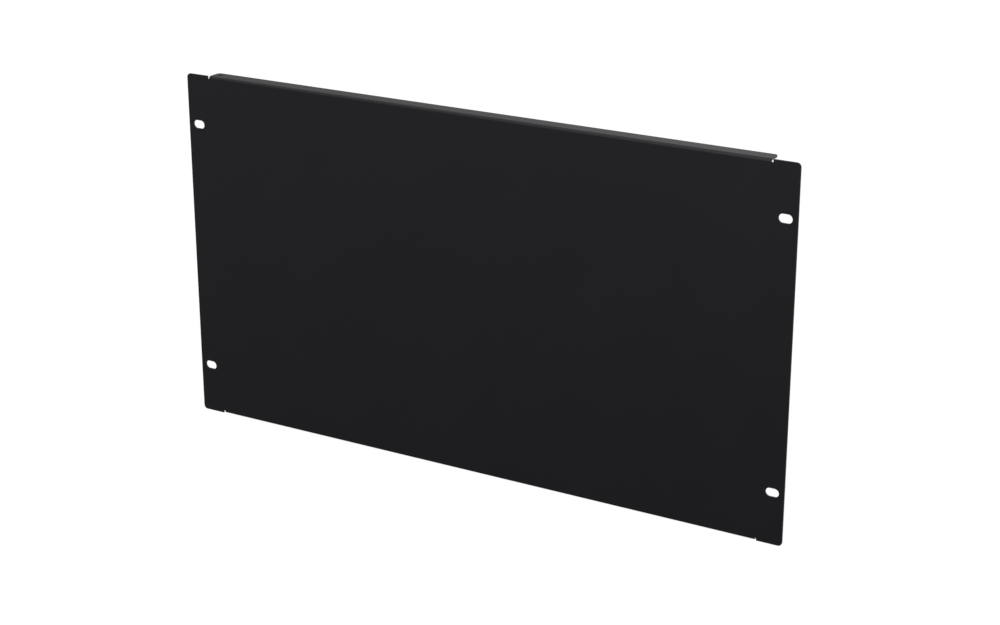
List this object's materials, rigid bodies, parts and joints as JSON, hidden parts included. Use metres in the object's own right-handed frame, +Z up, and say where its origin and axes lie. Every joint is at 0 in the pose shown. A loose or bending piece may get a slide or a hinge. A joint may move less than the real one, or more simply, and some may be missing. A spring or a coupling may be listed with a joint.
{
  "type": "rack blanking panel",
  "caption": "Flat folded-sheet panel that closes an unused bay in a 19-inch equipment rack: slotted ears at both ends, stiffening flanges folded back along the top and bottom edges.",
  "frame": {"origin": "centre of the pattern of screw slots, on the sheet's rear face, which seats on the rack's rails", "axes": "+X to the right as seen from the front, +Y to the rear, into the rack, +Z up as mounted"},
  "size_m": [0.4826, 0.012, 0.2658],
  "materials": {
    "black_powder_coat": "satin powder coat with a fine texture"
  },
  "bodies": {
    "root": {"blanking_panel": "black_powder_coat"}
  },
  "joints": []
}
